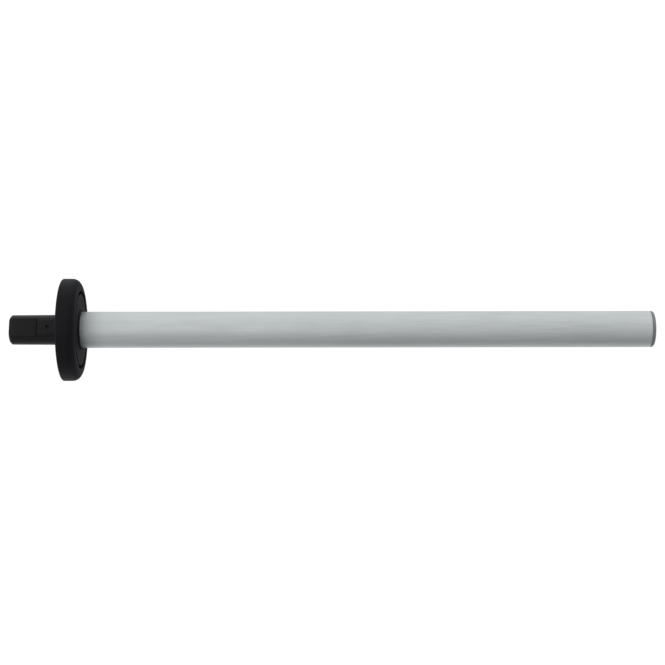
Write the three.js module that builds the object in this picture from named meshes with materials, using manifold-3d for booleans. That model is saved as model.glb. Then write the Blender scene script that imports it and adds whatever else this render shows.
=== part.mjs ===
// Rod unit of a knife sharpening steel: a hollow abrasive-coated rod with a tip cap, a round guard and a
// keyed spigot that plugs into a handle. Millimetres. The origin is the centre of the spigot's flat end,
// +X runs along the rod to the tip, and +Z points out of the spigot's key flat.

import * as THREE from "three";
import { mergeVertices } from "three/addons/utils/BufferGeometryUtils.js";
import Module from "manifold-3d";

const wasm = await Module();
wasm.setup();

// Driving dimensions.
const ROD_DIAMETER = 16.45;
const ROD_WALL = 1.5;
const EXPOSED_ROD_LENGTH = 260;

const GUARD_DIAMETER = 46.5;
const GUARD_THICKNESS = 8.2;
const GUARD_FRONT_ROUND = 3.8;
const GUARD_BACK_ROUND = 0.8;
const POCKET_DIAMETER = 35.6;
const POCKET_DEPTH = 3.5;

const SPIGOT_LENGTH = 23.8;
const SPIGOT_END_DIAMETER = 13.4;
const SPIGOT_ROOT_DIAMETER = 13.7;
const SPIGOT_CHAMFER = 0.9;
const SPIGOT_ROOT_ROUND = 1;
const FOOT_SEAT_DEPTH = 0.3;
const SPIGOT_END_WALL = 2.6;
const KEY_FLAT_HEIGHT = 5.5;
const KEY_FLAT_LENGTH = 12.9;
const KEY_BEVEL_LENGTH = 1.9;
const KEY_BEVEL_DEPTH = 0.5;
const ROOT_FLAT_HEIGHT = 6.2;
const STEP_GROOVE_WIDTH = 0.35;
const STEP_GROOVE_DEPTH = 0.45;
const TENON_DIAMETER = 12;
const TENON_FLAT_HEIGHT = 4.6;

const TANG_DIAMETER = 8;
const TANG_FLAT_HEIGHT = 3;
const TANG_PLUG_LENGTH = 33;
const TANG_PLUG_CHAMFER = 1;

const PIN_DIAMETER = 1;
const PIN_HOLE_DIAMETER = 1.4;
const PIN_STATION = 17.5;
const PIN_TOP = 5.4;
const PIN_BOTTOM = -5.1;

const PLATE_RECESS = 0.1;
const PLATE_WEB = 1;
const PLATE_SEAM = 1.6;
const PLATE_LIP_WIDTH = 1.1;
const PLATE_LIP_HEIGHT = 0.6;
const PLATE_CAVITY_DIAMETER = 22;
const WASHER_DIAMETER = 21.4;
const WASHER_THICKNESS = 0.8;

const CAP_LENGTH = 1.6;
const CAP_ROUND = 1.2;
const CAP_STUB_LENGTH = 9;
const CAP_STUB_CHAMFER = 0.8;
const SEAL_SECTION = 1;
const SEAL_GROOVE_WIDTH = 1.4;
const SEAL_GROOVE_DEPTH = 1.3;
const SEAL_GROOVE_FROM_SEAM = 4;

const FIT_GAP = 0.15;
const REST_GAP = 0.1;
const PLATE_BORE_GAP = 0.25;

const FACETS = 64;
const SEAL_FACETS = 32;
const SEAL_SECTION_FACETS = 8;
const ARC_STEPS = 5;
const PIN_FACETS = 24;
const CUT_MARGIN = 1;
const EDGE_CHAMFER = 0.3;
const WELD_DISTANCE = 0.001;

// Stations along the rod's axis and radii that follow from the driving dimensions.
const GUARD_BACK = SPIGOT_LENGTH;
const GUARD_FACE = GUARD_BACK + GUARD_THICKNESS;
const POCKET_FLOOR = GUARD_FACE - POCKET_DEPTH;
const TIP_END = GUARD_FACE + EXPOSED_ROD_LENGTH;
const CAP_SEAM = TIP_END - CAP_LENGTH;
const WASHER_BACK = POCKET_FLOOR + REST_GAP;
const WASHER_FRONT = WASHER_BACK + WASHER_THICKNESS;
const ROD_ROOT = WASHER_FRONT + REST_GAP;
const PLATE_FRONT = GUARD_FACE - PLATE_RECESS;
const PLATE_BACK = POCKET_FLOOR + REST_GAP;

const ROD_RADIUS = ROD_DIAMETER / 2;
const ROD_BORE_RADIUS = ROD_RADIUS - ROD_WALL;
const TANG_RADIUS = TANG_DIAMETER / 2;
const TENON_RADIUS = TENON_DIAMETER / 2;
const SEAL_RADIUS = SEAL_SECTION / 2;

// A lathe turns about Y and an extrusion runs along Z. These two carry either axis onto +X, and keep the
// direction that a flat faces on +Z.
const X = new THREE.Vector3(1, 0, 0);
const Y = new THREE.Vector3(0, 1, 0);
const Z = new THREE.Vector3(0, 0, 1);
const LATHE_AXIS_TO_X = new THREE.Matrix4().makeBasis(Z, X, Y);
const EXTRUSION_TO_X = new THREE.Matrix4().makeBasis(Y, Z, X);

// A body turned about the rod's axis. The outline is a list of [radius, station] points.
function turned(outline, facets = FACETS) {
  const points = outline.map(([radius, station]) => new THREE.Vector2(radius, station));
  return new THREE.LatheGeometry(points, facets).applyMatrix4(LATHE_AXIS_TO_X);
}

// Points of an arc in a turned outline, about a centre given as radius and station, in degrees from the
// outward direction towards +X.
function arc(centreRadius, centreStation, size, from, to, steps = ARC_STEPS) {
  return Array.from({ length: steps + 1 }, (_, i) => {
    const angle = THREE.MathUtils.degToRad(from + ((to - from) * i) / steps);
    return [centreRadius + size * Math.cos(angle), centreStation + size * Math.sin(angle)];
  });
}

// A straight bar along the axis with a round section that has one flat, at the given height above the axis.
function flattedBar(radius, flatHeight, from, to) {
  const edge = Math.asin(flatHeight / radius);
  const section = new THREE.Shape();
  section.absarc(0, 0, radius, Math.PI - edge, 2 * Math.PI + edge, false);
  section.closePath();
  const bar = new THREE.ExtrudeGeometry(section, {
    depth: to - from,
    curveSegments: FACETS,
    bevelEnabled: false,
  });
  return bar.applyMatrix4(EXTRUSION_TO_X).translate(from, 0, 0);
}

// A block that takes away everything above a height, over a stretch of the axis.
function blockAbove(height, from, to) {
  const size = GUARD_DIAMETER;
  const block = new THREE.BoxGeometry(to - from, size, size);
  return block.translate((from + to) / 2, 0, height + size / 2);
}

// A block that bevels the end edge of the key flat, over the bevel's length and down to its depth.
function keyBevel() {
  const slope = Math.atan2(KEY_BEVEL_DEPTH, KEY_BEVEL_LENGTH);
  const size = SPIGOT_END_DIAMETER;
  const block = new THREE.BoxGeometry(size, size, size).translate(-size / 2, 0, size / 2);
  return block.rotateY(-slope).translate(KEY_BEVEL_LENGTH, 0, KEY_FLAT_HEIGHT);
}

// A round bar along Z at a station on the rod's axis.
function crossBar(diameter, station, bottom, top) {
  const bar = new THREE.CylinderGeometry(diameter / 2, diameter / 2, top - bottom, PIN_FACETS);
  return bar.rotateX(Math.PI / 2).translate(station, 0, (bottom + top) / 2);
}

function toSolid(geometry) {
  const bare = geometry.clone().deleteAttribute("normal").deleteAttribute("uv");
  const merged = mergeVertices(bare, WELD_DISTANCE);
  return new wasm.Manifold(
    new wasm.Mesh({
      numProp: 3,
      vertProperties: merged.attributes.position.array,
      triVerts: new Uint32Array(merged.index.array),
    }),
  );
}

function toGeometry(solid) {
  const mesh = solid.getMesh();
  const geometry = new THREE.BufferGeometry();
  geometry.setAttribute("position", new THREE.BufferAttribute(mesh.vertProperties, 3));
  geometry.setIndex(new THREE.BufferAttribute(mesh.triVerts, 1));
  geometry.computeVertexNormals();
  return geometry;
}

// The body geometry with each of the cutters taken away from it.
function cut(body, ...cutters) {
  const solid = cutters.reduce((rest, cutter) => rest.subtract(toSolid(cutter)), toSolid(body));
  return toGeometry(solid);
}

function join(...bodies) {
  return toGeometry(bodies.map(toSolid).reduce((all, body) => all.add(body)));
}

const satinSteel = () => new THREE.MeshStandardMaterial({ color: 0xb9bdbf, roughness: 0.45, metalness: 0.9 });
const bareSteel = () => new THREE.MeshStandardMaterial({ color: 0x7c7e81, roughness: 0.4, metalness: 0.9 });
const blackPlastic = () => new THREE.MeshStandardMaterial({ color: 0x1d1d20, roughness: 0.55, metalness: 0 });
const blackRubber = () => new THREE.MeshStandardMaterial({ color: 0x141414, roughness: 0.9, metalness: 0 });

// The steel tube that carries the abrasive coat. Its root stands on the washer inside the guard.
function rodTube() {
  return turned([
    [ROD_BORE_RADIUS, ROD_ROOT],
    [ROD_RADIUS - EDGE_CHAMFER, ROD_ROOT],
    [ROD_RADIUS, ROD_ROOT + EDGE_CHAMFER],
    [ROD_RADIUS, CAP_SEAM - REST_GAP],
    [ROD_BORE_RADIUS, CAP_SEAM - REST_GAP],
    [ROD_BORE_RADIUS, ROD_ROOT],
  ]);
}

// The bare steel cap that closes the tip: a rounded head flush with the rod and a grooved stub inside it.
function tipCap() {
  const stubRadius = ROD_BORE_RADIUS - FIT_GAP;
  const stubEnd = CAP_SEAM - CAP_STUB_LENGTH;
  const grooveFront = CAP_SEAM - SEAL_GROOVE_FROM_SEAM;
  const grooveBack = grooveFront - SEAL_GROOVE_WIDTH;
  return turned([
    [0, stubEnd],
    [stubRadius - CAP_STUB_CHAMFER, stubEnd],
    [stubRadius, stubEnd + CAP_STUB_CHAMFER],
    [stubRadius, grooveBack],
    [stubRadius - SEAL_GROOVE_DEPTH, grooveBack],
    [stubRadius - SEAL_GROOVE_DEPTH, grooveFront],
    [stubRadius, grooveFront],
    [stubRadius, CAP_SEAM],
    [ROD_RADIUS, CAP_SEAM],
    ...arc(ROD_RADIUS - CAP_ROUND, TIP_END - CAP_ROUND, CAP_ROUND, 0, 90),
    [0, TIP_END],
  ]);
}

// A ring of round section about the rod's axis.
function sealRing(ringRadius, station) {
  return turned(arc(ringRadius, station, SEAL_RADIUS, 0, 360, SEAL_SECTION_FACETS), SEAL_FACETS);
}

function tipSeal() {
  const station = CAP_SEAM - SEAL_GROOVE_FROM_SEAM - SEAL_GROOVE_WIDTH / 2;
  return sealRing(ROD_BORE_RADIUS - FIT_GAP - SEAL_RADIUS, station);
}

function rootSeal() {
  const station = WASHER_FRONT + REST_GAP + SEAL_RADIUS;
  return sealRing(ROD_RADIUS + FIT_GAP + SEAL_RADIUS, station);
}

// The turned tang: a plug fixed in the rod's root, and a flatted bar through the guard into the spigot.
function tang() {
  const plugRadius = ROD_BORE_RADIUS - FIT_GAP;
  const plugEnd = ROD_ROOT + TANG_PLUG_LENGTH;
  const plug = turned([
    [0, ROD_ROOT],
    [plugRadius, ROD_ROOT],
    [plugRadius, plugEnd - TANG_PLUG_CHAMFER],
    [plugRadius - TANG_PLUG_CHAMFER, plugEnd],
    [0, plugEnd],
  ]);
  const bar = flattedBar(TANG_RADIUS, TANG_FLAT_HEIGHT, SPIGOT_END_WALL + REST_GAP, ROD_ROOT + CUT_MARGIN);
  const pinHole = crossBar(PIN_HOLE_DIAMETER, PIN_STATION, -ROD_DIAMETER, ROD_DIAMETER);
  return cut(join(plug, bar), pinHole);
}

// The guard disc: a softly rounded front edge, a pocket in its face, a shallow seat in its back for the
// spigot's foot, and a flatted hole for the tenon.
function guard() {
  const radius = GUARD_DIAMETER / 2;
  const seatRadius = SPIGOT_ROOT_DIAMETER / 2 + SPIGOT_ROOT_ROUND + FIT_GAP;
  const disc = turned([
    [0, GUARD_BACK + FOOT_SEAT_DEPTH],
    [seatRadius, GUARD_BACK + FOOT_SEAT_DEPTH],
    [seatRadius, GUARD_BACK],
    ...arc(radius - GUARD_BACK_ROUND, GUARD_BACK + GUARD_BACK_ROUND, GUARD_BACK_ROUND, -90, 0),
    ...arc(radius - GUARD_FRONT_ROUND, GUARD_FACE - GUARD_FRONT_ROUND, GUARD_FRONT_ROUND, 0, 90),
    [POCKET_DIAMETER / 2, GUARD_FACE],
    [POCKET_DIAMETER / 2, POCKET_FLOOR],
    [0, POCKET_FLOOR],
  ]);
  const hole = flattedBar(
    TENON_RADIUS + FIT_GAP,
    TENON_FLAT_HEIGHT + FIT_GAP,
    GUARD_BACK - CUT_MARGIN,
    POCKET_FLOOR + CUT_MARGIN,
  );
  return cut(disc, hole);
}

// The round plate that closes the guard's pocket about the rod, with a low lip round the rod and a hollow
// behind for the washer and seal.
function facePlate() {
  const rim = POCKET_DIAMETER / 2 - PLATE_SEAM;
  const bore = ROD_RADIUS + PLATE_BORE_GAP;
  const cavity = PLATE_CAVITY_DIAMETER / 2;
  return turned([
    [cavity, PLATE_BACK],
    [rim, PLATE_BACK],
    [rim, PLATE_FRONT - EDGE_CHAMFER],
    [rim - EDGE_CHAMFER, PLATE_FRONT],
    [bore + PLATE_LIP_WIDTH, PLATE_FRONT],
    [bore + PLATE_LIP_WIDTH - EDGE_CHAMFER, PLATE_FRONT + PLATE_LIP_HEIGHT],
    [bore, PLATE_FRONT + PLATE_LIP_HEIGHT],
    [bore, PLATE_FRONT - PLATE_WEB],
    [cavity, PLATE_FRONT - PLATE_WEB],
    [cavity, PLATE_BACK],
  ]);
}

// The steel washer that spreads the rod's thrust over the bottom of the pocket.
function shoulderWasher() {
  const bore = TANG_RADIUS + FIT_GAP;
  const rim = WASHER_DIAMETER / 2;
  return turned([
    [bore, WASHER_BACK],
    [rim, WASHER_BACK],
    [rim, WASHER_FRONT],
    [bore, WASHER_FRONT],
    [bore, WASHER_BACK],
  ]);
}

// The spigot: a slightly tapered plug with a chamfered end, a key flat that ends in a grooved step, a rounded
// foot seated in the guard's back and a flatted tenon through the guard. Its inside holds the tang.
function spigot() {
  const endRadius = SPIGOT_END_DIAMETER / 2;
  const rootRadius = SPIGOT_ROOT_DIAMETER / 2;
  const foot = GUARD_BACK + FOOT_SEAT_DEPTH - REST_GAP;
  const tenonEnd = POCKET_FLOOR - REST_GAP;
  const plug = turned([
    [0, 0],
    [endRadius - SPIGOT_CHAMFER, 0],
    [endRadius, SPIGOT_CHAMFER],
    ...arc(rootRadius + SPIGOT_ROOT_ROUND, GUARD_BACK - SPIGOT_ROOT_ROUND, SPIGOT_ROOT_ROUND, 180, 90),
    [rootRadius + SPIGOT_ROOT_ROUND, foot],
    [0, foot],
  ]);
  const keyFlat = blockAbove(KEY_FLAT_HEIGHT, -CUT_MARGIN, KEY_FLAT_LENGTH);
  const rootFlat = blockAbove(ROOT_FLAT_HEIGHT, KEY_FLAT_LENGTH - CUT_MARGIN, GUARD_BACK - SPIGOT_ROOT_ROUND);
  const grooveFloor = KEY_FLAT_HEIGHT - STEP_GROOVE_DEPTH;
  const stepGroove = blockAbove(grooveFloor, KEY_FLAT_LENGTH - STEP_GROOVE_WIDTH, KEY_FLAT_LENGTH);
  const tenon = flattedBar(TENON_RADIUS, TENON_FLAT_HEIGHT, foot - CUT_MARGIN, tenonEnd);
  const bore = flattedBar(
    TANG_RADIUS + FIT_GAP,
    TANG_FLAT_HEIGHT + FIT_GAP,
    SPIGOT_END_WALL,
    tenonEnd + CUT_MARGIN,
  );
  const pinHole = crossBar(PIN_HOLE_DIAMETER, PIN_STATION, PIN_BOTTOM - REST_GAP, ROD_RADIUS);
  return cut(join(cut(plug, keyFlat, keyBevel(), stepGroove, rootFlat), tenon), bore, pinHole);
}

// The dowel pin that locks the spigot to the tang, driven in from the root flat.
function crossPin() {
  return crossBar(PIN_DIAMETER, PIN_STATION, PIN_BOTTOM, PIN_TOP);
}

const group = new THREE.Group();
group.name = "sharpening_steel_rod_unit";

function addPiece(name, geometry, material) {
  const piece = new THREE.Mesh(geometry, material);
  piece.name = name;
  group.add(piece);
}

addPiece("rod_tube", rodTube(), satinSteel());
addPiece("tip_cap", tipCap(), bareSteel());
addPiece("tip_seal", tipSeal(), blackRubber());
addPiece("tang", tang(), bareSteel());
addPiece("shoulder_washer", shoulderWasher(), bareSteel());
addPiece("root_seal", rootSeal(), blackRubber());
addPiece("guard", guard(), blackPlastic());
addPiece("guard_face_plate", facePlate(), blackPlastic());
addPiece("spigot", spigot(), blackPlastic());
addPiece("cross_pin", crossPin(), bareSteel());

export default group;
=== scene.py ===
import math

import bmesh
import bpy
from mathutils import Matrix, Vector


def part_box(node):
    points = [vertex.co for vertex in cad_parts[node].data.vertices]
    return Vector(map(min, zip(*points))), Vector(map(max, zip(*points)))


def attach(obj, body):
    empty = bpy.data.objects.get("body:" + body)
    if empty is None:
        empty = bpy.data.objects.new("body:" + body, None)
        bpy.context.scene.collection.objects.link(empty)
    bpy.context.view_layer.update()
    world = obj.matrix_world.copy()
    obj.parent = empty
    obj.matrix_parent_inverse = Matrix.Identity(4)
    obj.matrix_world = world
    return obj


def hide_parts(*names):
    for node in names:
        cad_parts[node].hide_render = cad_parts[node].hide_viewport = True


# Looks of a sharpening steel's rod unit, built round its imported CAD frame. Metres. +X runs along the rod from
# the spigot to the tip, and +Z points out of the spigot's key flat.

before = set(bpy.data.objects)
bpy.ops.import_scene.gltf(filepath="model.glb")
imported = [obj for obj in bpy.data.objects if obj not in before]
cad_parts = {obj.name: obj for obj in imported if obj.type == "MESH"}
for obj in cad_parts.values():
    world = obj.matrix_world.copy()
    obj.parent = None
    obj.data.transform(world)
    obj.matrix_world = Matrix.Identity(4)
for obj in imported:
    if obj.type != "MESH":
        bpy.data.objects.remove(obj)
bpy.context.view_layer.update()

MM = 0.001

# ---------------------------------------------------------------------------------------------- sizes

def span(node):
    """Where a piece of the frame starts and ends along the rod, and how far it reaches from the axis."""
    low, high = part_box(node)
    return low.x, high.x, high.y


ROD_START, ROD_END, ROD_RADIUS = span("rod_tube")
CAP_START, TIP_END, CAP_RADIUS = span("tip_cap")
GUARD_BACK, GUARD_FACE, GUARD_RADIUS = span("guard")
PLATE_BACK, PLATE_LIP_TOP, PLATE_RADIUS = span("guard_face_plate")
_, TENON_END, SPIGOT_FOOT_RADIUS = span("spigot")
TANG_START, TANG_PLUG_END, TANG_PLUG_RADIUS = span("tang")
WASHER_BACK, WASHER_FRONT, WASHER_RADIUS = span("shoulder_washer")
PIN_LOW, PIN_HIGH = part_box("cross_pin")

EDGE = 0.15 * MM
FIT_GAP = 0.15 * MM
REST_GAP = 0.1 * MM

ROD_WALL = 1.5 * MM
ROD_BORE_RADIUS = ROD_RADIUS - ROD_WALL
CAP_SEAM = ROD_END + REST_GAP
CAP_ROUND = 1.2 * MM
CAP_STUB_CHAMFER = 0.8 * MM
SEAL_GROOVE_DEPTH = 1.15 * MM
SEAL_SIDE_PLAY = 0.2 * MM

GUARD_FRONT_ROUND = 3.8 * MM
GUARD_BACK_ROUND = 0.8 * MM
POCKET_RADIUS = 17.8 * MM
POCKET_FLOOR = PLATE_BACK - REST_GAP
PLATE_FRONT = GUARD_FACE - REST_GAP
PLATE_EDGE_ROUND = 0.25 * MM
PLATE_LIP_WIDTH = 1.1 * MM
PLATE_WEB = 1.0 * MM
PLATE_CAVITY_RADIUS = 11.0 * MM
PLATE_BORE_RADIUS = ROD_RADIUS + 0.25 * MM

SPIGOT_END_RADIUS = 6.7 * MM
SPIGOT_ROOT_RADIUS = 6.85 * MM
SPIGOT_CHAMFER = 0.9 * MM
FOOT_SEAT_DEPTH = 0.3 * MM
FOOT_SEAT_RADIUS = 8.0 * MM
KEY_FLAT_HEIGHT = 5.5 * MM
ROOT_FLAT_HEIGHT = 6.2 * MM
KEY_FLAT_END = 12.9 * MM
STEP_GROOVE_WIDTH = 0.35 * MM
STEP_GROOVE_DEPTH = 0.45 * MM
STEP_CORNER = 0.12 * MM
KEY_BEVEL_LENGTH = 1.9 * MM
KEY_BEVEL_DEPTH = 0.5 * MM
TENON_RADIUS = 6.0 * MM
TENON_FLAT_HEIGHT = 4.6 * MM
TANG_RADIUS = 4.0 * MM
TANG_FLAT_HEIGHT = 3.0 * MM
TANG_PLUG_CHAMFER = 1.0 * MM
PIN_HOLE_RADIUS = 0.7 * MM
PIN_STATION = (PIN_LOW.x + PIN_HIGH.x) / 2

# A flat as high as this is above every piece, so it leaves a section round.
NO_FLAT = 1.0

# The higher this is, the sharper the corners beside a flat.
FLAT_CRISPNESS = 160

# Edges that turn by more than the crease stay crisp, and points nearer than the smallest distance are one.
CREASE = math.radians(28)
SMALLEST = 1e-7


# ------------------------------------------------------------------------------------------- geometry

def arc(radius, station, size, start, end, steps=12):
    """Outline points of an arc about a centre, in degrees from the outward direction towards +X."""
    points = []
    for i in range(steps + 1):
        angle = math.radians(start + (end - start) * i / steps)
        points.append((radius + size * math.cos(angle), station + size * math.sin(angle)))
    return points


def line(start, end, steps):
    """Outline points evenly along a straight stretch, both ends included."""
    return [tuple(a + (b - a) * i / steps for a, b in zip(start, end)) for i in range(steps + 1)]


def clamped(radius, flat, angle):
    """The distance from the axis to a round section with one flat facing +Z, its corners a little rounded."""
    rise = math.sin(angle)
    if rise <= 0 or flat >= NO_FLAT:
        return radius
    return radius * (1 + (radius * rise / flat) ** FLAT_CRISPNESS) ** (-1 / FLAT_CRISPNESS)


def turned(name, outline, ring=False, segments=192):
    """A smooth mesh turned about the rod's axis. Each outline point is (radius, station) or, for a round with
    one flat, (radius, station, flat height). A ring's outline closes on itself, and any other one starts and
    ends on the axis."""
    mesh = bmesh.new()
    rows = []
    for radius, station, *flat in outline:
        if radius < SMALLEST:
            rows.append([mesh.verts.new((station, 0, 0))])
            continue
        height = flat[0] if flat else NO_FLAT
        row = []
        for k in range(segments):
            angle = 2 * math.pi * k / segments
            reach = clamped(radius, height, angle)
            row.append(mesh.verts.new((station, reach * math.cos(angle), reach * math.sin(angle))))
        rows.append(row)
    pairs = list(zip(rows, rows[1:]))
    if ring:
        pairs.append((rows[-1], rows[0]))
    for near, far in pairs:
        for k in range(segments):
            after = (k + 1) % segments
            if len(near) == 1:
                mesh.faces.new((near[0], far[k], far[after]))
            elif len(far) == 1:
                mesh.faces.new((near[after], near[k], far[0]))
            else:
                mesh.faces.new((near[after], near[k], far[k], far[after]))
    bmesh.ops.recalc_face_normals(mesh, faces=mesh.faces)
    return to_object(name, mesh)


def to_object(name, mesh):
    """A smooth-shaded object, with the edges that turn more sharply than the crease kept crisp."""
    for face in mesh.faces:
        face.smooth = True
    for edge in mesh.edges:
        edge.smooth = len(edge.link_faces) == 2 and edge.calc_face_angle(0) < CREASE
    data = bpy.data.meshes.new(name)
    mesh.to_mesh(data)
    mesh.free()
    made = bpy.data.objects.new(name, data)
    bpy.context.scene.collection.objects.link(made)
    return made


def cut(piece, cutter):
    """piece with the cutter's shape taken away from it, as a plain mesh. The cutter is removed."""
    modifier = piece.modifiers.new("cut", "BOOLEAN")
    modifier.operation = "DIFFERENCE"
    modifier.solver = "EXACT"
    modifier.object = cutter
    bpy.context.view_layer.update()
    graph = bpy.context.evaluated_depsgraph_get()
    result = bmesh.new()
    result.from_mesh(bpy.data.meshes.new_from_object(piece.evaluated_get(graph)))
    name = piece.name
    bpy.data.objects.remove(piece)
    bpy.data.objects.remove(cutter)
    bmesh.ops.remove_doubles(result, verts=result.verts, dist=SMALLEST)
    return to_object(name, result)


def upright(piece, station):
    """Stands a piece that was turned about +X up along +Z, at a station on the axis."""
    piece.data.transform(Matrix.Translation((station, 0, 0)) @ Matrix.Rotation(-math.pi / 2, 4, "Y"))
    return piece


# ------------------------------------------------------------------------------------------ materials

class Shader:
    """One material's node tree, with short calls for the nodes that the surfaces here use."""

    def __init__(self, name):
        self.material = bpy.data.materials.new(name)
        self.material.use_nodes = True
        self.tree = self.material.node_tree
        self.surface = self.tree.nodes["Principled BSDF"]
        self.place = self.tree.nodes.new("ShaderNodeTexCoord").outputs["Object"]

    def link(self, source, socket):
        self.tree.links.new(source, socket)

    def math(self, operation, a, b=0.0):
        node = self.tree.nodes.new("ShaderNodeMath")
        node.operation = operation
        for socket, value in zip(node.inputs, (a, b)):
            if isinstance(value, bpy.types.NodeSocket):
                self.link(value, socket)
            else:
                socket.default_value = value
        return node.outputs[0]

    def stretched(self, scale):
        """The place in the object, scaled along each axis."""
        node = self.tree.nodes.new("ShaderNodeMapping")
        node.inputs["Scale"].default_value = scale
        self.link(self.place, node.inputs["Vector"])
        return node.outputs["Vector"]

    def noise(self, size, detail=2.0, stretch=(1, 1, 1)):
        """Noise with features of about the given size, drawn out along an axis by a stretch below 1."""
        node = self.tree.nodes.new("ShaderNodeTexNoise")
        node.inputs["Scale"].default_value = 1 / size
        node.inputs["Detail"].default_value = detail
        self.link(self.stretched(stretch), node.inputs["Vector"])
        return node.outputs["Fac"]

    def around(self):
        """The distance from the rod's axis, and the station along it."""
        split = self.tree.nodes.new("ShaderNodeSeparateXYZ")
        self.link(self.place, split.inputs[0])
        across = self.math("MULTIPLY", split.outputs["Y"], split.outputs["Y"])
        up = self.math("MULTIPLY", split.outputs["Z"], split.outputs["Z"])
        return self.math("SQRT", self.math("ADD", across, up)), split.outputs["X"]

    def turning_marks(self, pitch):
        """Fine rings left by a lathe: noise that changes only with the radius and the station."""
        radius, station = self.around()
        both = self.tree.nodes.new("ShaderNodeCombineXYZ")
        self.link(radius, both.inputs["X"])
        self.link(station, both.inputs["Y"])
        node = self.tree.nodes.new("ShaderNodeTexNoise")
        node.inputs["Scale"].default_value = 1 / pitch
        node.inputs["Detail"].default_value = 3
        self.link(both.outputs[0], node.inputs["Vector"])
        return node.outputs["Fac"]

    def ranged(self, value, low, high):
        """A 0 to 1 value carried onto a range, with its middle part spread over it."""
        node = self.tree.nodes.new("ShaderNodeMapRange")
        node.inputs["From Min"].default_value = 0.3
        node.inputs["From Max"].default_value = 0.7
        node.inputs["To Min"].default_value = low
        node.inputs["To Max"].default_value = high
        self.link(value, node.inputs["Value"])
        return node.outputs["Result"]

    def smooth_step(self, value, start, end, low, high):
        """Low up to the start, high from the end, and an even S-curve between them."""
        node = self.tree.nodes.new("ShaderNodeMapRange")
        node.interpolation_type = "SMOOTHSTEP"
        node.inputs["From Min"].default_value = start
        node.inputs["From Max"].default_value = end
        node.inputs["To Min"].default_value = low
        node.inputs["To Max"].default_value = high
        self.link(value, node.inputs["Value"])
        return node.outputs["Result"]

    def colour(self, value, dark, light):
        """The base colour, between two colours as a 0 to 1 value runs over its middle part."""
        node = self.tree.nodes.new("ShaderNodeMix")
        node.data_type = "RGBA"
        node.inputs["A"].default_value = (*dark, 1)
        node.inputs["B"].default_value = (*light, 1)
        self.link(self.ranged(value, 0, 1), node.inputs["Factor"])
        self.link(node.outputs["Result"], self.surface.inputs["Base Color"])

    def tinted(self, value, dark, light, factor):
        """The base colour as colour() makes it, then scaled by a factor that is itself a node's value."""
        self.colour(value, dark, light)
        base = self.surface.inputs["Base Color"].links[0].from_socket
        scale = self.tree.nodes.new("ShaderNodeVectorMath")
        scale.operation = "SCALE"
        self.link(base, scale.inputs[0])
        self.link(factor, scale.inputs["Scale"])
        self.link(scale.outputs[0], self.surface.inputs["Base Color"])

    def roughness(self, value, low, high):
        self.link(self.ranged(value, low, high), self.surface.inputs["Roughness"])

    def bump(self, *layers):
        """Surface relief. Each layer is (height value, depth in metres)."""
        normal = None
        for value, depth in layers:
            node = self.tree.nodes.new("ShaderNodeBump")
            node.inputs["Strength"].default_value = 1
            node.inputs["Distance"].default_value = depth
            self.link(value, node.inputs["Height"])
            if normal is not None:
                self.link(normal, node.inputs["Normal"])
            normal = node.outputs["Normal"]
        self.link(normal, self.surface.inputs["Normal"])


def coated_steel():
    """The rod's abrasive coat: a close grain, faint streaks along the rod, a slow mottle, and painted shade
    that darkens the rod's colour where it meets the guard."""
    s = Shader("coated_steel")
    grain = s.noise(0.16 * MM, detail=3)
    streaks = s.noise(0.9 * MM, detail=3, stretch=(0.06, 1, 1))
    mottle = s.noise(14 * MM, detail=2, stretch=(0.4, 1, 1))
    mixed = s.math("ADD", s.math("MULTIPLY", streaks, 0.6), s.math("MULTIPLY", mottle, 0.4))
    _, station = s.around()
    # Painted shade: the rod's colour is scaled down towards the guard, darkest next to it.
    root_shade_end = PLATE_LIP_TOP + ROOT_SHADE_REACH
    root_shade = s.smooth_step(station, root_shade_end - ROOT_SHADE_FADE, root_shade_end, ROOT_SHADE_GREY, 1)
    s.tinted(mixed, (0.735, 0.765, 0.76), (0.855, 0.884, 0.88), root_shade)
    s.surface.inputs["Metallic"].default_value = 1
    uneven = s.math("ADD", s.math("MULTIPLY", mixed, 0.5), s.math("MULTIPLY", grain, 0.5))
    s.roughness(uneven, 0.34, 0.42)
    s.bump((grain, 0.012 * MM), (streaks, 0.014 * MM))
    return s.material


def turned_steel(name, dark, light, rough):
    """Bare turned steel with the rings of the tool."""
    s = Shader(name)
    rings = s.turning_marks(0.12 * MM)
    mottle = s.noise(4 * MM)
    mixed = s.math("ADD", s.math("MULTIPLY", rings, 0.5), s.math("MULTIPLY", mottle, 0.5))
    s.colour(mixed, dark, light)
    s.surface.inputs["Metallic"].default_value = 1
    s.roughness(rings, rough - 0.05, rough + 0.07)
    s.bump((rings, 0.006 * MM))
    return s.material


def moulded_plastic(name, tone, rough, gloss):
    """Black moulded plastic: a spark-eroded grain, faint flow marks and slightly uneven gloss, duller on the
    guard's coarser front face."""
    s = Shader(name)
    grain = s.noise(0.22 * MM, detail=3)
    flow = s.noise(7 * MM, detail=3)
    scuffs = s.noise(2.2 * MM, detail=6)
    dark = tuple(0.8 * c for c in tone)
    light = tuple(1.3 * c for c in tone)
    mixed = s.math("ADD", s.math("MULTIPLY", flow, 0.6), s.math("MULTIPLY", scuffs, 0.4))
    s.colour(mixed, dark, light)
    uneven = s.math("ADD", s.math("MULTIPLY", scuffs, 0.5), s.math("MULTIPLY", flow, 0.5))
    _, station = s.around()
    face = s.smooth_step(station, GUARD_FACE - 3 * MM, GUARD_FACE - 0.5 * MM, 0, FACE_DULLNESS)
    dullness = s.math("ADD", s.ranged(uneven, rough - 0.05, rough + 0.06), face)
    s.link(dullness, s.surface.inputs["Roughness"])
    s.bump((grain, 0.012 * MM), (flow, 0.03 * MM))
    s.surface.inputs["Specular IOR Level"].default_value = gloss
    return s.material


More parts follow.
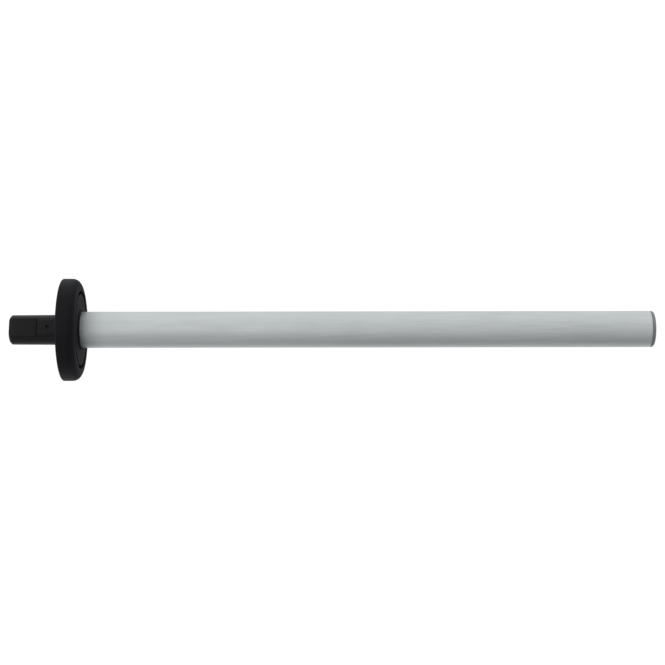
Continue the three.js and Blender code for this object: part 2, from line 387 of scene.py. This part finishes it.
def seal_rubber():
    s = Shader("seal_rubber")
    grain = s.noise(0.15 * MM)
    bloom = s.noise(2 * MM)
    s.colour(bloom, (0.012, 0.012, 0.012), (0.02, 0.02, 0.02))
    s.roughness(bloom, 0.6, 0.75)
    s.bump((grain, 0.01 * MM))
    return s.material


# Painted shade on the rod by the guard: how far beyond the plate's lip it ends, the stretch over which it
# fades, and the share of the rod's colour that is left where it is darkest.
ROOT_SHADE_REACH = 13 * MM
ROOT_SHADE_FADE = 16 * MM
ROOT_SHADE_GREY = 0.62

# How much rougher the guard's front face is than its rim.
FACE_DULLNESS = 0.24

COATED_STEEL = coated_steel()
TIP_STEEL = turned_steel("tip_steel", (0.29, 0.295, 0.3), (0.36, 0.365, 0.37), 0.36)
TANG_STEEL = turned_steel("tang_steel", (0.42, 0.42, 0.43), (0.52, 0.52, 0.53), 0.3)
PIN_STEEL = turned_steel("pin_steel", (0.035, 0.035, 0.037), (0.05, 0.05, 0.052), 0.45)
GUARD_PLASTIC = moulded_plastic("guard_plastic", (0.0036, 0.0036, 0.0056), 0.54, 0.22)
SPIGOT_PLASTIC = moulded_plastic("spigot_plastic", (0.0038, 0.0037, 0.0042), 0.36, 0.29)
SEAL_RUBBER = seal_rubber()


def finish_piece(piece, node, material):
    """Gives a piece its material, hides the CAD node that it stands for and hangs it under the root body."""
    piece.data.materials.append(material)
    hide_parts(node)
    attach(piece, "root")


# --------------------------------------------------------------------------------------------- pieces

def coated_rod():
    outline = [
        *line((ROD_RADIUS, ROD_START + EDGE), (ROD_RADIUS, ROD_END - EDGE / 2), 60),
        (ROD_RADIUS - EDGE / 2, ROD_END),
        (ROD_BORE_RADIUS + EDGE, ROD_END),
        (ROD_BORE_RADIUS, ROD_END - EDGE),
        (ROD_BORE_RADIUS, ROD_START + EDGE),
        (ROD_BORE_RADIUS + EDGE, ROD_START),
        (ROD_RADIUS - EDGE, ROD_START),
    ]
    finish_piece(turned("coated_rod", outline, ring=True), "rod_tube", COATED_STEEL)


def steel_tip():
    stub = ROD_BORE_RADIUS - FIT_GAP
    seal_low, seal_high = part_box("tip_seal")
    groove_floor = seal_high.y - SEAL_GROOVE_DEPTH
    groove_back = seal_low.x - SEAL_SIDE_PLAY
    groove_front = seal_high.x + SEAL_SIDE_PLAY
    outline = [
        (0, CAP_START),
        (stub - CAP_STUB_CHAMFER, CAP_START),
        (stub, CAP_START + CAP_STUB_CHAMFER),
        (stub, groove_back),
        (groove_floor, groove_back),
        (groove_floor, groove_front),
        (stub, groove_front),
        (stub, CAP_SEAM),
        (CAP_RADIUS - EDGE / 2, CAP_SEAM),
        *arc(CAP_RADIUS - CAP_ROUND, TIP_END - CAP_ROUND, CAP_ROUND, 0, 90, 16),
        *line((CAP_RADIUS - CAP_ROUND - EDGE, TIP_END), (0, TIP_END), 8),
    ]
    finish_piece(turned("steel_tip", outline), "tip_cap", TIP_STEEL)


def seal(name, node):
    low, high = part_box(node)
    section = (high.x - low.x) / 2
    circle = arc(high.y - section, (low.x + high.x) / 2, section, 0, 360, 16)
    made = turned(name, circle[:-1], ring=True, segments=96)
    finish_piece(made, node, SEAL_RUBBER)


def guard_disc():
    hole, hole_flat = TENON_RADIUS + FIT_GAP, TENON_FLAT_HEIGHT + FIT_GAP
    back, front = GUARD_BACK_ROUND, GUARD_FRONT_ROUND
    outline = [
        (hole, GUARD_BACK + FOOT_SEAT_DEPTH, hole_flat),
        (FOOT_SEAT_RADIUS, GUARD_BACK + FOOT_SEAT_DEPTH),
        (FOOT_SEAT_RADIUS, GUARD_BACK),
        *arc(GUARD_RADIUS - back, GUARD_BACK + back, back, -90, 0, 10),
        *arc(GUARD_RADIUS - front, GUARD_FACE - front, front, 0, 90, 28),
        *arc(POCKET_RADIUS + EDGE, GUARD_FACE - EDGE, EDGE, 90, 180, 4),
        (POCKET_RADIUS, POCKET_FLOOR),
        (hole, POCKET_FLOOR, hole_flat),
    ]
    disc = turned("guard_disc", outline, ring=True, segments=256)
    finish_piece(disc, "guard", GUARD_PLASTIC)


def face_plate():
    edge = PLATE_EDGE_ROUND
    lip_foot = PLATE_BORE_RADIUS + PLATE_LIP_WIDTH
    outline = [
        (PLATE_CAVITY_RADIUS, PLATE_BACK),
        (PLATE_RADIUS - edge, PLATE_BACK),
        (PLATE_RADIUS, PLATE_BACK + edge),
        *arc(PLATE_RADIUS - edge, PLATE_FRONT - edge, edge, 0, 90, 5),
        *line((PLATE_RADIUS - 2 * edge, PLATE_FRONT), (lip_foot + edge, PLATE_FRONT), 6),
        (lip_foot, PLATE_FRONT + EDGE / 4),
        *arc(lip_foot - 2 * EDGE - edge, PLATE_LIP_TOP - edge, edge, 0, 90, 5),
        *arc(PLATE_BORE_RADIUS + EDGE, PLATE_LIP_TOP - EDGE, EDGE, 90, 180, 4),
        (PLATE_BORE_RADIUS, PLATE_FRONT - PLATE_WEB),
        (PLATE_CAVITY_RADIUS, PLATE_FRONT - PLATE_WEB),
    ]
    plate = turned("face_plate", outline, ring=True, segments=256)
    finish_piece(plate, "guard_face_plate", GUARD_PLASTIC)


def washer():
    bore = TANG_RADIUS + FIT_GAP
    outline = [
        (bore, WASHER_BACK),
        (WASHER_RADIUS - EDGE, WASHER_BACK),
        (WASHER_RADIUS, WASHER_BACK + EDGE),
        (WASHER_RADIUS, WASHER_FRONT - EDGE),
        (WASHER_RADIUS - EDGE, WASHER_FRONT),
        (bore, WASHER_FRONT),
    ]
    finish_piece(turned("washer", outline, ring=True), "shoulder_washer", TANG_STEEL)


def pin_hole_cutter(mouth_height):
    """A round cutter for the pin's hole, with a small chamfer at its mouth in the flat."""
    radius = PIN_HOLE_RADIUS
    bottom = PIN_LOW.z - REST_GAP
    top = mouth_height + 2 * MM
    outline = [
        (0, bottom),
        (radius, bottom),
        (radius, mouth_height - EDGE / 2),
        (radius + EDGE, mouth_height + EDGE / 2),
        (radius + EDGE, top),
        (0, top),
    ]
    return upright(turned("pin_hole_cutter", outline, segments=48), PIN_STATION)


def tang_bar():
    outline = [
        (0, TANG_START),
        (TANG_RADIUS - EDGE, TANG_START, TANG_FLAT_HEIGHT),
        (TANG_RADIUS, TANG_START + EDGE, TANG_FLAT_HEIGHT),
        (TANG_RADIUS, ROD_START - EDGE, TANG_FLAT_HEIGHT),
        (TANG_RADIUS, ROD_START),
        (TANG_PLUG_RADIUS, ROD_START),
        (TANG_PLUG_RADIUS, TANG_PLUG_END - TANG_PLUG_CHAMFER),
        (TANG_PLUG_RADIUS - TANG_PLUG_CHAMFER, TANG_PLUG_END),
        (0, TANG_PLUG_END),
    ]
    bar = cut(turned("tang_bar", outline), pin_hole_cutter(ROD_RADIUS))
    finish_piece(bar, "tang", TANG_STEEL)


def spigot_outline():
    """The spigot from its end face to its foot, then the tenon and the bore that takes the tang. A few rows
    along each flat keep its shading even."""
    end, root = SPIGOT_END_RADIUS, SPIGOT_ROOT_RADIUS
    foot_round = SPIGOT_FOOT_RADIUS - root
    foot = GUARD_BACK + FOOT_SEAT_DEPTH - REST_GAP
    key_flat, root_flat = KEY_FLAT_HEIGHT, ROOT_FLAT_HEIGHT
    step = KEY_FLAT_END
    groove = step - STEP_GROOVE_WIDTH
    groove_floor = key_flat - STEP_GROOVE_DEPTH
    corner = STEP_CORNER
    chamfer = SPIGOT_CHAMFER

    def side(station):
        return end + (root - end) * station / GUARD_BACK

    def key(station):
        return key_flat - KEY_BEVEL_DEPTH * max(0, 1 - station / KEY_BEVEL_LENGTH)

    bore, bore_flat = TANG_RADIUS + FIT_GAP, TANG_FLAT_HEIGHT + FIT_GAP
    bore_end = TANG_START - REST_GAP
    return [
        *line((0, 0, key(0) - EDGE), (end - chamfer - EDGE, 0, key(0) - EDGE), 6),
        (end - chamfer - EDGE / 4, EDGE / 5, key(0) - EDGE / 2),
        (end - chamfer + EDGE, EDGE, key(0)),
        (end - EDGE, chamfer - EDGE, key(chamfer)),
        (end - EDGE / 4, chamfer, key(chamfer)),
        *[(side(x), x, key(x)) for x in (chamfer + EDGE, KEY_BEVEL_LENGTH - EDGE)],
        *[(side(x), x, key_flat) for x in (KEY_BEVEL_LENGTH + EDGE, 4 * MM, 7 * MM, 10 * MM)],
        (side(groove), groove - corner, key_flat),
        (side(groove), groove - corner / 4, key_flat - corner / 4),
        (side(groove), groove, key_flat - corner),
        (side(groove), groove, groove_floor + corner),
        (side(groove), groove + corner / 4, groove_floor + corner / 4),
        (side(groove), groove + corner, groove_floor),
        (side(groove), step - corner, groove_floor),
        (side(groove), step - corner / 4, groove_floor + corner / 4),
        (side(step), step, groove_floor + corner),
        (side(step), step, root_flat - corner),
        (side(step), step + corner / 2, root_flat - corner / 6),
        (side(step), step + 2 * corner, root_flat),
        *[(side(x), x, root_flat) for x in (15 * MM, 18 * MM, 20 * MM)],
        *[
            (root + foot_round + radius, station, root_flat + foot_round + radius)
            for radius, station in arc(0, GUARD_BACK - foot_round, foot_round, 180, 90, 10)
        ],
        (root + foot_round, foot),
        (TENON_RADIUS, foot, TENON_FLAT_HEIGHT),
        (TENON_RADIUS, TENON_END - 2 * EDGE, TENON_FLAT_HEIGHT),
        (TENON_RADIUS - 2 * EDGE, TENON_END, TENON_FLAT_HEIGHT - 2 * EDGE),
        (bore, TENON_END, bore_flat),
        (bore, bore_end, bore_flat),
        (0, bore_end),
    ]


def keyed_spigot():
    plug = turned("keyed_spigot", spigot_outline(), segments=320)
    plug = cut(plug, pin_hole_cutter(ROOT_FLAT_HEIGHT))
    finish_piece(plug, "spigot", SPIGOT_PLASTIC)


def sunk_pin():
    radius = PIN_HIGH.y
    outline = [
        (0, PIN_LOW.z),
        (radius - EDGE, PIN_LOW.z),
        (radius, PIN_LOW.z + EDGE),
        (radius, PIN_HIGH.z - EDGE),
        (radius - EDGE, PIN_HIGH.z),
        (0, PIN_HIGH.z),
    ]
    pin = upright(turned("sunk_pin", outline, segments=48), PIN_STATION)
    finish_piece(pin, "cross_pin", PIN_STEEL)


coated_rod()
steel_tip()
seal("tip_ring", "tip_seal")
seal("root_ring", "root_seal")
guard_disc()
face_plate()
washer()
tang_bar()
keyed_spigot()
sunk_pin()


# ---------------------------------------------------------------------------------------------- stage

FLOOR_REACH = 0.6
FLOOR_GLOW = 0.95

# The room's light by direction. Its walls fade from the back light to the front light. A large soft light at
# the front left adds to them, and a black flag close beside its middle takes some of both away.
ROOM_TINT = (0.97, 0.985, 1, 1)
BACK_LIGHT = 0.73
FRONT_LIGHT = 0.2
FRONT_WAY = (0, -0.95, 0.32)
FRONT_FALLOFF = 1.8
LEFT_LIGHT = 0.84
LEFT_WAY = (-1, -0.7, 0.72)
LEFT_FALLOFF = 3
FLAG_DIMMING = 0.85
FLAG_WAY = (-1, -1, 0.82)
FLAG_FALLOFF = 10
GROUND_LIGHT = 0.61
GROUND_FROM = -0.7
GROUND_TO = -0.9
BACKDROP_WHITE = 1.05


def floor():
    """A plain floor that glows nearly white, like a light table. It is tilted so that the guard's rim and the
    tip rest on it, and left out of reflections, where the room's pale ground stands for it."""
    guard_foot = Vector((GUARD_FACE - GUARD_FRONT_ROUND, 0, -GUARD_RADIUS))
    tip_foot = Vector((TIP_END - CAP_ROUND, 0, -CAP_RADIUS))
    along = (tip_foot - guard_foot).normalized()
    across = Vector((0, 1, 0))
    middle = (guard_foot + tip_foot) / 2
    signs = ((-1, -1), (1, -1), (1, 1), (-1, 1))
    corners = [middle + along * (i * FLOOR_REACH) + across * (j * FLOOR_REACH) for i, j in signs]
    data = bpy.data.meshes.new("floor")
    data.from_pydata(corners, [], [(0, 1, 2, 3)])
    made = bpy.data.objects.new("floor", data)
    bpy.context.scene.collection.objects.link(made)
    s = Shader("floor_paper")
    cloud = s.noise(60 * MM)
    s.colour(cloud, (0.18, 0.18, 0.18), (0.2, 0.2, 0.2))
    s.roughness(cloud, 0.85, 0.95)
    s.surface.inputs["Emission Color"].default_value = (1, 1, 1, 1)
    s.surface.inputs["Emission Strength"].default_value = FLOOR_GLOW
    made.data.materials.append(s.material)
    made.visible_glossy = False


def studio():
    """A soft pale room over a pale ground: bright behind and dimmer in front, with a large soft light at the
    front left and a black flag beside its middle. The camera itself sees a plain white backdrop."""
    world = bpy.data.worlds.new("studio")
    bpy.context.scene.world = world
    world.use_nodes = True
    tree = world.node_tree

    def node(kind, **inputs):
        made = tree.nodes.new(kind)
        for name, value in inputs.items():
            made.inputs[name.replace("_", " ")].default_value = value
        return made

    def link(source, target):
        tree.links.new(source, target)

    def arithmetic(operation, a, b):
        made = tree.nodes.new("ShaderNodeMath")
        made.operation = operation
        for socket, value in zip(made.inputs, (a, b)):
            if isinstance(value, bpy.types.NodeSocket):
                link(value, socket)
            else:
                socket.default_value = value
        return made.outputs[0]

    def lobe(direction, widest, falloff):
        """1 along a direction, falling to 0 where a way out of the room is at the widest cosine from it."""
        made = node("ShaderNodeVectorMath")
        made.operation = "DOT_PRODUCT"
        made.inputs[1].default_value = Vector(direction).normalized()
        link(way, made.inputs[0])
        share = node("ShaderNodeMapRange", From_Min=widest)
        link(made.outputs["Value"], share.inputs["Value"])
        return arithmetic("POWER", share.outputs["Result"], falloff)

    way = tree.nodes.new("ShaderNodeTexCoord").outputs["Generated"]
    fade = node("ShaderNodeMapRange", To_Min=BACK_LIGHT, To_Max=FRONT_LIGHT)
    link(lobe(FRONT_WAY, -1, FRONT_FALLOFF), fade.inputs["Value"])
    left = arithmetic("MULTIPLY", lobe(LEFT_WAY, 0, LEFT_FALLOFF), LEFT_LIGHT)
    flag = lobe(FLAG_WAY, 0, FLAG_FALLOFF)
    dimming = arithmetic("MULTIPLY", flag, FLAG_DIMMING)
    lit = arithmetic("ADD", fade.outputs["Result"], left)
    walls = arithmetic("MULTIPLY", lit, arithmetic("SUBTRACT", 1.0, dimming))
    split = node("ShaderNodeSeparateXYZ")
    link(way, split.inputs[0])
    ground = node("ShaderNodeMapRange", From_Min=GROUND_FROM, From_Max=GROUND_TO)
    ground.interpolation_type = "SMOOTHSTEP"
    link(split.outputs["Z"], ground.inputs["Value"])
    walls_and_ground = node("ShaderNodeMix", B=GROUND_LIGHT)
    link(ground.outputs["Result"], walls_and_ground.inputs["Factor"])
    link(walls, walls_and_ground.inputs["A"])
    room = tree.nodes["Background"]
    room.inputs["Color"].default_value = ROOM_TINT
    link(walls_and_ground.outputs["Result"], room.inputs["Strength"])
    backdrop = node("ShaderNodeBackground", Color=(1, 1, 1, 1), Strength=BACKDROP_WHITE)
    ray = node("ShaderNodeLightPath")
    surroundings = node("ShaderNodeMixShader")
    link(ray.outputs["Is Camera Ray"], surroundings.inputs["Fac"])
    link(room.outputs[0], surroundings.inputs[1])
    link(backdrop.outputs[0], surroundings.inputs[2])
    link(surroundings.outputs[0], tree.nodes["World Output"].inputs["Surface"])


CAMERA_AIM = Vector((0.1462, 0, 0))
AIM_BELOW_AXIS = 1.38 * MM
CAMERA_ELEVATION = math.radians(77)
CAMERA_DISTANCE = 0.718
CAMERA_ROLL = math.radians(-0.085)
LENS = 85.5
SENSOR_WIDTH = 36


def camera():
    """The photographer's view: square to the rod, from high on the -Y side."""
    back = Vector((0, -math.cos(CAMERA_ELEVATION), math.sin(CAMERA_ELEVATION)))
    up = Vector((0, math.sin(CAMERA_ELEVATION), math.cos(CAMERA_ELEVATION)))
    data = bpy.data.cameras.new("camera")
    data.lens = LENS
    data.sensor_width = SENSOR_WIDTH
    made = bpy.data.objects.new("camera", data)
    aim = CAMERA_AIM - up * AIM_BELOW_AXIS
    made.location = aim + back * CAMERA_DISTANCE
    made.rotation_mode = "QUATERNION"
    roll = Matrix.Rotation(CAMERA_ROLL, 4, "Z").to_quaternion()
    made.rotation_quaternion = (-back).to_track_quat("-Z", "Y") @ roll
    bpy.context.scene.collection.objects.link(made)
    bpy.context.scene.camera = made


floor()
studio()
camera()
bpy.context.scene.view_settings.view_transform = "Standard"
